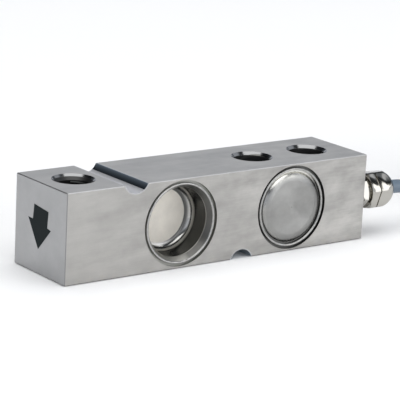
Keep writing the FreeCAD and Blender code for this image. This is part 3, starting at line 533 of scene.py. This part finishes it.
MOTTLED = {
    "weld_metal": dict(
        colour=(0.39, 0.387, 0.375), roughness=0.31, metallic=1.0, scale=1.1, spread=0.18, bump=0.35,
    ),
    "gauge_film": dict(colour=(0.62, 0.33, 0.07), roughness=0.35),
    "solder_copper": dict(colour=(0.72, 0.45, 0.25), roughness=0.35, metallic=1.0),
    "ribbon_film": dict(colour=(0.55, 0.27, 0.05), roughness=0.35),
    "pad_foam": dict(colour=(0.16, 0.16, 0.17), roughness=0.85, scale=2.0, spread=0.25, bump=0.5),
    "board_laminate": dict(colour=(0.03, 0.22, 0.09), roughness=0.4),
    "resistor_black": dict(colour=(0.03, 0.03, 0.03), roughness=0.5),
    "header_steel": dict(colour=(0.55, 0.53, 0.50), roughness=0.3, metallic=1.0),
    "header_glass": dict(colour=(0.35, 0.55, 0.50), roughness=0.1),
    "pin_gold": dict(colour=(0.80, 0.62, 0.28), roughness=0.25, metallic=1.0),
    "core_sleeve": dict(colour=(0.30, 0.30, 0.31), roughness=0.4),
    "seal_rubber": dict(colour=(0.03, 0.03, 0.03), roughness=0.7, scale=2.0, spread=0.2, bump=0.2),
    "clamp_plastic": dict(colour=(0.05, 0.05, 0.055), roughness=0.5),
    "cable_jacket": dict(colour=(0.115, 0.155, 0.20), roughness=0.30, scale=0.30, spread=0.06, bump=0.03),
    "tie_plastic": dict(colour=(0.03, 0.03, 0.03), roughness=0.45, scale=3.0, spread=0.2, bump=0.3),
    "core_red": dict(colour=(0.55, 0.03, 0.03), roughness=0.35),
    "core_green": dict(colour=(0.03, 0.30, 0.07), roughness=0.35),
    "core_black": dict(colour=(0.02, 0.02, 0.02), roughness=0.35),
    "core_white": dict(colour=(0.80, 0.80, 0.78), roughness=0.35),
    "tinned_copper": dict(colour=(0.62, 0.61, 0.58), roughness=0.3, metallic=1.0, scale=2.0, bump=0.4),
}


def finishes():
    """The material of each slot."""
    made = {name: mottled(name, **look) for name, look in MOTTLED.items()}
    made["bar_steel"] = bar_steel()
    made["cup_steel"] = cup_steel()
    made["cover_steel"] = cover_steel()
    made["nickel_plate"] = nickel_plate()
    return made


def dress(finish):
    """Gives each node of the frame the material of its slot."""
    for entry in record["subparts"]:
        materials = nodes[entry["node"]].data.materials
        materials.clear()
        materials.append(finish[entry["material_slot"]])


def add_piece(name, data, material):
    data.materials.append(material)
    obj = bpy.data.objects.new(name, data)
    scene.collection.objects.link(obj)
    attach(obj, "root")
    return obj


def new_mesh(name, vertices, faces):
    mesh = bpy.data.meshes.new(name)
    mesh.from_pydata(vertices, [], faces)
    return mesh


# Corners of the arrow: (share of the width from the back edge, share of the height).
ARROW_OUTLINE = [
    (0.373, 0.746), (0.352, 0.577), (0.261, 0.581), (0.468, 0.269),
    (0.707, 0.525), (0.635, 0.538), (0.652, 0.719),
]
PRINT_PROUD = 0.03
PRINT_ROOT = 0.02


def load_arrow():
    """The arrow printed on the end face, which shows the direction of the load."""
    ink = plain("arrow_ink", Base_Color=(0.009, 0.014, 0.015), Roughness=0.6, Specular_IOR_Level=0.1)
    vertices = []
    for x in (LOAD_END_X - PRINT_PROUD, LOAD_END_X + PRINT_ROOT):
        for across, up in ARROW_OUTLINE:
            vertices.append((x * MM, FACE_Y * (1 - 2 * across) * MM, BAR_HEIGHT * up * MM))
    count = len(ARROW_OUTLINE)
    front = tuple(range(count))
    back = tuple(range(count, 2 * count))[::-1]
    sides = [(i, count + i, count + (i + 1) % count, (i + 1) % count) for i in range(count)]
    add_piece("load_arrow", new_mesh("load_arrow", vertices, [front, back, *sides]), ink)


THREAD_PITCH = 25.4 / 20
THREAD_HEIGHT = 0.43
THREAD_ROOT = 0.03
THREAD_LOW = 1.0
THREAD_HIGH = 29.2
THREAD_STEPS = 32
# Corners of the ridge: (height above the wall of the hole, place along the hole as a share of the pitch).
THREAD_PROFILE = [(-THREAD_ROOT, -0.42), (THREAD_HEIGHT, -0.08), (THREAD_HEIGHT, 0.08), (-THREAD_ROOT, 0.42)]


def load_thread():
    """The thread in the load hole: one closed ridge wound up its wall, near black with painted shade."""
    steel = plain("thread_steel", Base_Color=(0.03, 0.032, 0.031), Roughness=0.45, Metallic=1.0)
    total = int((THREAD_HIGH - THREAD_LOW) / THREAD_PITCH * THREAD_STEPS)
    vertices, faces = [], []
    for i in range(total + 1):
        angle = 2 * math.pi * i / THREAD_STEPS
        for height, share in THREAD_PROFILE:
            radius = LOAD_HOLE_RADIUS - height
            x = LOAD_HOLE_X + radius * math.cos(angle)
            y = radius * math.sin(angle)
            z = THREAD_LOW + THREAD_PITCH * (i / THREAD_STEPS + share)
            vertices.append((x * MM, y * MM, z * MM))
    size = len(THREAD_PROFILE)
    for i in range(total):
        here, ahead = i * size, (i + 1) * size
        for j in range(size):
            k = (j + 1) % size
            faces.append((here + j, here + k, ahead + k, ahead + j))
    faces.append(tuple(range(size))[::-1])
    faces.append(tuple(range(total * size, (total + 1) * size)))
    add_piece("load_thread", new_mesh("load_thread", vertices, faces), steel)


# The lead's points and the sizes of the hank, repeated from the part's source.
CABLE_DIAMETER = 5.2
LEAD_ROUTE = [
    (45.3, -8.5, 15.9),
    (60.8, -8.5, 15.9),
    (88.8, -12.5, 3.45),
    (104.3, -12.5, 3.45),
]
HANK_NEAR_X = 119.3
HANK_MIDDLE_Y = 8.5
HANK_RUN = 48.3
HANK_BEND = 15.7
HANK_PITCH = 5.3
HANK_LAYERS = 7
HANK_BASE = 0.8
HANK_TAIL = 15.0
# Each layer has an outer and an inner turn.
HANK_BENDS = (HANK_BEND + HANK_PITCH, HANK_BEND)
HANK_TURNS = 2 * HANK_LAYERS
FOLD_STEPS = 5


def hank_turn(index):
    """(radius, height) of one turn: layers alternate between outside first and inside first."""
    layer, second = divmod(index, 2)
    radius = HANK_BENDS[(layer + second) % 2]
    return radius, HANK_BASE + (layer + 0.5) * HANK_PITCH


def fold(centre_x, start_angle, first, last):
    """Points round a half turn, moving from one (radius, height) to another."""
    step = math.pi / FOLD_STEPS
    points = []
    for i in range(FOLD_STEPS):
        share = (i + 0.5) / FOLD_STEPS
        radius = (first[0] + (last[0] - first[0]) * share) / math.cos(step / 2)
        height = first[1] + (last[1] - first[1]) * share
        angle = start_angle + (i + 0.5) * step
        points.append((centre_x + radius * math.cos(angle), HANK_MIDDLE_Y + radius * math.sin(angle), height))
    return points


def hank_points():
    """The turns of the hank, from where the lead meets it to the bare end on top."""
    far_x = HANK_NEAR_X + HANK_RUN
    points = []
    for index in range(HANK_TURNS):
        radius, height = hank_turn(index)
        lead = radius * math.tan(math.pi / FOLD_STEPS / 2)
        front, rear = HANK_MIDDLE_Y - radius, HANK_MIDDLE_Y + radius
        run = [HANK_NEAR_X + lead, HANK_NEAR_X + HANK_RUN / 2, far_x - lead]
        points += [(x, front, height) for x in run]
        points += fold(far_x, -math.pi / 2, (radius, height), (radius, height))
        if index == HANK_TURNS - 1:
            points += [(x, rear, height) for x in (far_x - lead, far_x - HANK_TAIL)]
            break
        points += [(x, rear, height) for x in reversed(run)]
        points += fold(HANK_NEAR_X, math.pi / 2, (radius, height), hank_turn(index + 1))
    return points


def cable(jacket):
    """The whole cable as one cord: the lead from the gland, then the hank."""
    route = LEAD_ROUTE + hank_points()
    curve = bpy.data.curves.new("cable", "CURVE")
    curve.dimensions = "3D"
    curve.bevel_depth = CABLE_DIAMETER / 2 * MM
    curve.bevel_resolution = 6
    curve.resolution_u = 6
    curve.use_fill_caps = True
    spline = curve.splines.new("NURBS")
    spline.points.add(len(route) - 1)
    for point, place in zip(spline.points, route):
        point.co = (*(c * MM for c in place), 1.0)
    spline.order_u = 3
    spline.use_endpoint_u = True
    obj = add_piece("cable", curve, jacket)
    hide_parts("cable_lead", "cable_hank")


# The studio is in metres.
FLOOR_HALF = 15.0
FLOOR_Z = -0.0002


def floor():
    white = plain("floor_white", Base_Color=grey(0.97), Roughness=1.0, Specular_IOR_Level=0.0)
    signs = [(-1, -1), (1, -1), (1, 1), (-1, 1)]
    corners = [(x * FLOOR_HALF, y * FLOOR_HALF, FLOOR_Z) for x, y in signs]
    mesh = new_mesh("floor", corners, [(0, 1, 2, 3)])
    mesh.materials.append(white)
    obj = bpy.data.objects.new("floor", mesh)
    scene.collection.objects.link(obj)


# Height of the room's pale wall, as the sine of its elevation, at places round the room
# in degrees from +X towards +Y.
WALL = (
    (-180, 0.42), (-60, 0.50), (-44, 0.50), (-33, 0.18), (-27, 0.18), (-18, 0.71), (8, 0.71), (20, 0.18),
    (37, 0.18), (49, 0.60), (62, 0.60), (76, 0.40), (90, 0.21), (135, 0.21), (150, 0.42), (180, 0.42),
)
# Colour of the room by height above the top of that wall.
FADE = (
    (-0.01, (0.80, 0.83, 0.89)), (0.02, (0.24, 0.26, 0.29)),
    (0.175, (0.10, 0.11, 0.125)), (0.375, (0.025, 0.028, 0.032)),
)
FADE_RANGE = (-0.05, 0.45)


def studio_world():
    """A pale wall of uneven height round the room, under a dim ceiling."""
    world = bpy.data.worlds.new("studio")
    world.use_nodes = True
    graph = Graph(world)
    x, y, z = graph.split(graph.new("ShaderNodeTexCoord").outputs["Generated"])
    bearing = graph.math("ARCTAN2", y, x).map(-math.pi, math.pi)
    wall = bearing.ramp([((degrees + 180) / 360, grey(height)) for degrees, height in WALL])
    low, high = FADE_RANGE
    above = (z - wall).map(low, high)
    room = above.ramp([((height - low) / (high - low), colour) for height, colour in FADE])
    graph.put(graph.tree.nodes["Background"].inputs["Color"], room)
    scene.world = world


# Lamps are (name, place, width, depth, power in watts). The overhead one lies flat, turned about
# the upright axis, and the others face the object.
OVERHEAD = ("overhead", (-0.305, -0.397, 2.4), 2.66, 4.2, 77)
OVERHEAD_TURN = (0.0, 0.0, math.radians(-37.5))
SIDE_LAMPS = (
    ("front_panel", (1.225, -2.63, 0.776), 3.6, 1.5, 25),
    ("right_strip", (1.288, -1.160, 1.354), 0.45, 0.55, 1.9),
)


def softbox(name, location, width, depth, power, rotation):
    light = bpy.data.lights.new(name, "AREA")
    light.shape = "RECTANGLE"
    light.size = width
    light.size_y = depth
    light.energy = power
    obj = bpy.data.objects.new(name, light)
    obj.location = location
    obj.rotation_euler = rotation
    obj.visible_camera = False
    scene.collection.objects.link(obj)


def lamps():
    softbox(*OVERHEAD, OVERHEAD_TURN)
    for lamp in SIDE_LAMPS:
        towards_object = -Vector(lamp[1])
        softbox(*lamp, towards_object.to_track_quat("-Z", "Y").to_euler())


CAMERA_PLACE = (-0.45435, -0.55203, 0.19849)
CAMERA_AZIMUTH = -37.22
CAMERA_ELEVATION = 14.58
CAMERA_ROLL = 2.884
CAMERA_LENS = 182.03
CAMERA_SENSOR = 36
CAMERA_REACH = 100


def photo_camera():
    """A camera with the photo's view; angles are in degrees, the lens and the sensor in millimetres."""
    azimuth, elevation, roll = (math.radians(v) for v in (CAMERA_AZIMUTH, CAMERA_ELEVATION, CAMERA_ROLL))
    flat = math.cos(elevation)
    back = Vector((math.sin(azimuth) * flat, -math.cos(azimuth) * flat, math.sin(elevation)))
    level = Vector((math.cos(azimuth), math.sin(azimuth), 0))
    upright = back.cross(level)
    right = level * math.cos(roll) + upright * math.sin(roll)
    up = upright * math.cos(roll) - level * math.sin(roll)
    data = bpy.data.cameras.new("photo_camera")
    data.lens = CAMERA_LENS
    data.sensor_width = CAMERA_SENSOR
    data.clip_end = CAMERA_REACH
    obj = bpy.data.objects.new("photo_camera", data)
    obj.matrix_world = Matrix.Translation(CAMERA_PLACE) @ Matrix((right, up, back)).transposed().to_4x4()
    scene.collection.objects.link(obj)
    scene.camera = obj


finish = finishes()
dress(finish)
load_arrow()
load_thread()
cable(finish["cable_jacket"])
floor()
studio_world()
lamps()
photo_camera()

scene.view_settings.view_transform = "Standard"
